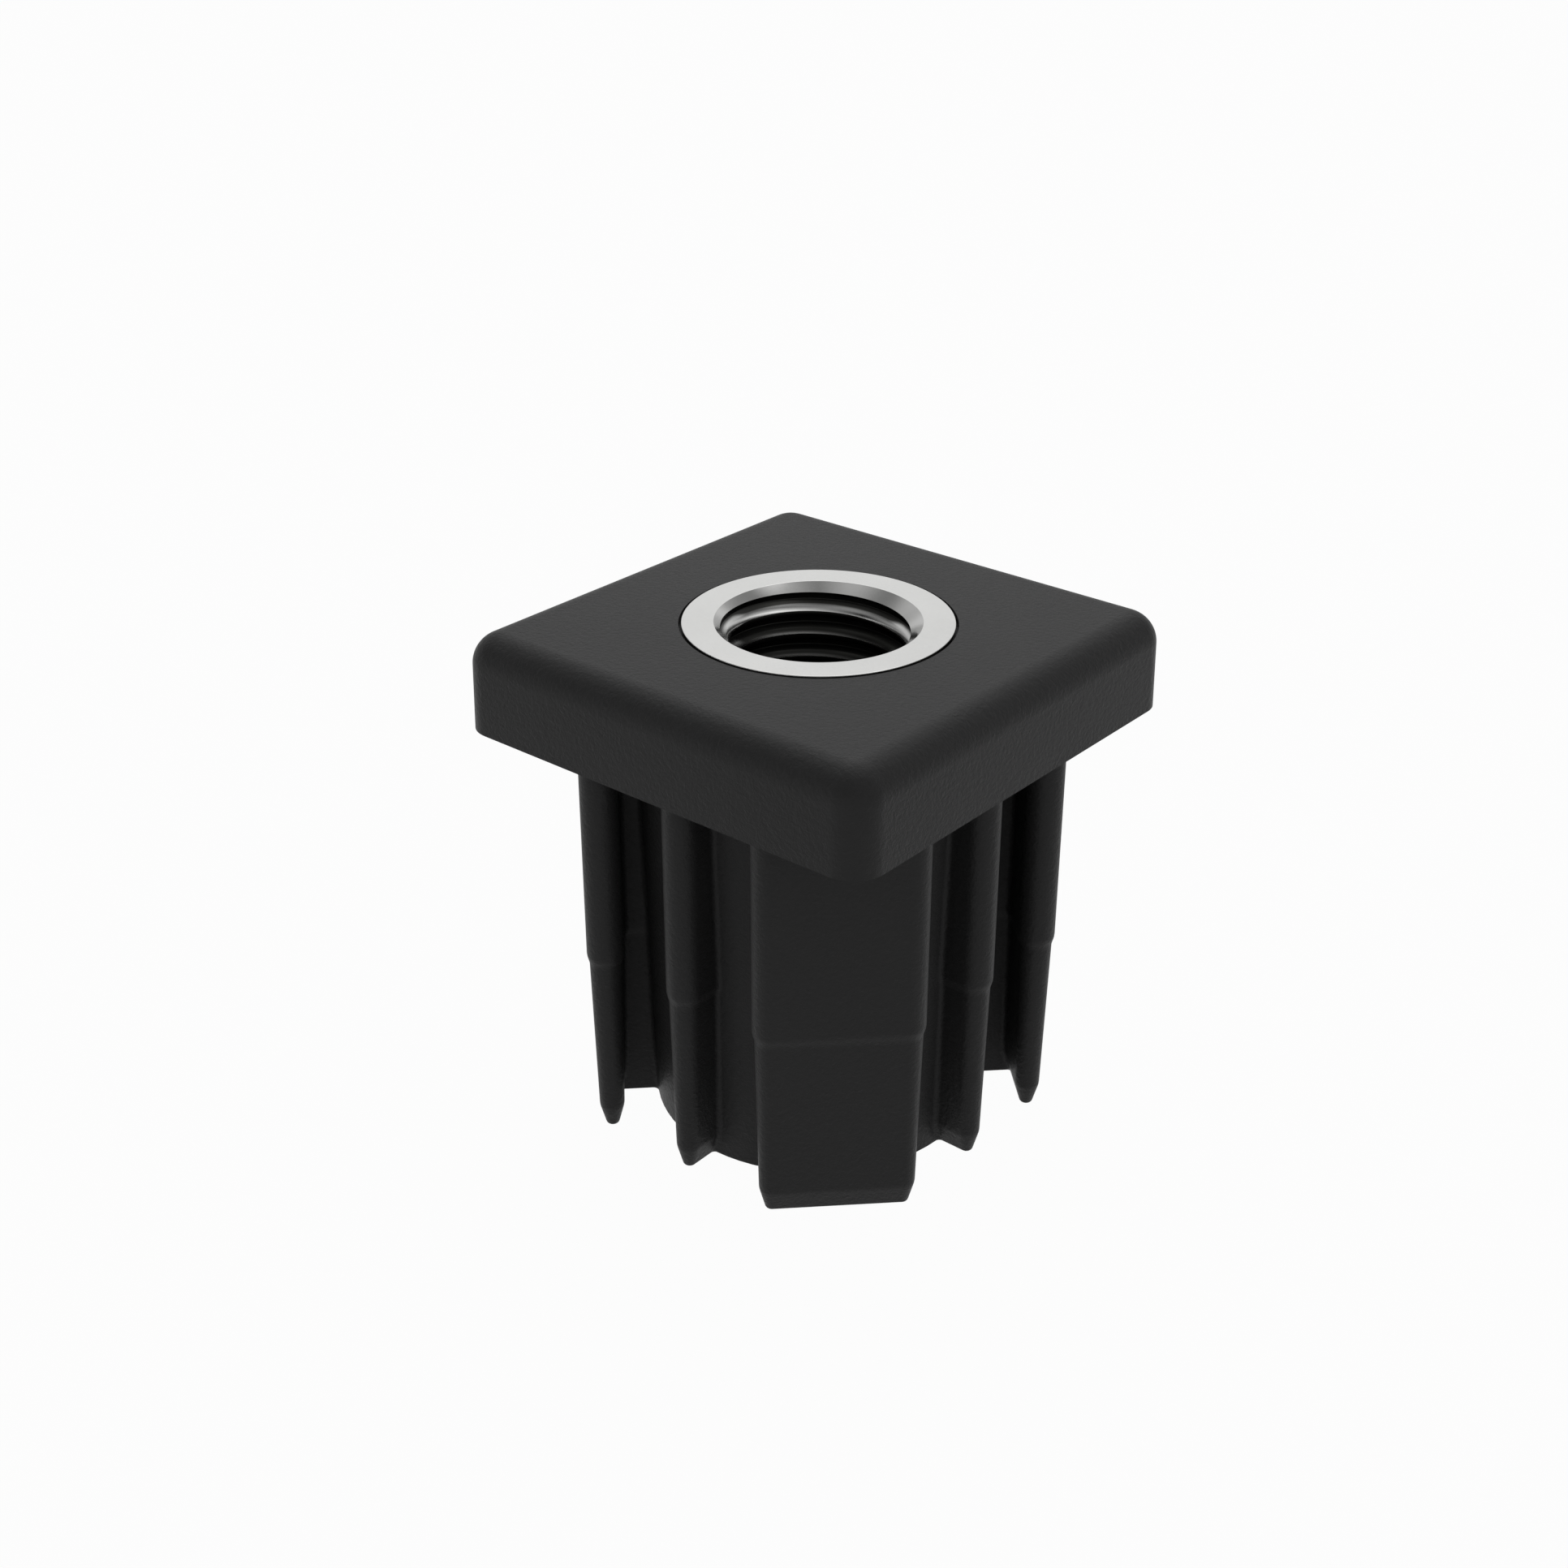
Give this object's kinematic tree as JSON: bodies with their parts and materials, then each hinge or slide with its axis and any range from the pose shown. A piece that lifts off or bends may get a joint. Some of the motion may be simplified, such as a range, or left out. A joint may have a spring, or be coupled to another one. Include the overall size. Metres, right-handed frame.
{
  "type": "threaded tube insert",
  "caption": "Square-headed plastic insert with a ribbed shank and a threaded steel bush, for the open end of a square tube.",
  "frame": {"origin": "on the thread's axis, in the plane of the head's underside, where the end of the tube seats", "axes": "+Z along the thread's axis, out of the head; X and Y square to the head's sides"},
  "size_m": [0.04, 0.04, 0.0431],
  "materials": {
    "black_plastic": "fine leather-like grain with a soft sheen",
    "satin_steel": "satin turned, with a fine matt grain on the upper face"
  },
  "bodies": {
    "root": {"moulded_body": "black_plastic", "threaded_bush": "satin_steel"}
  },
  "joints": []
}
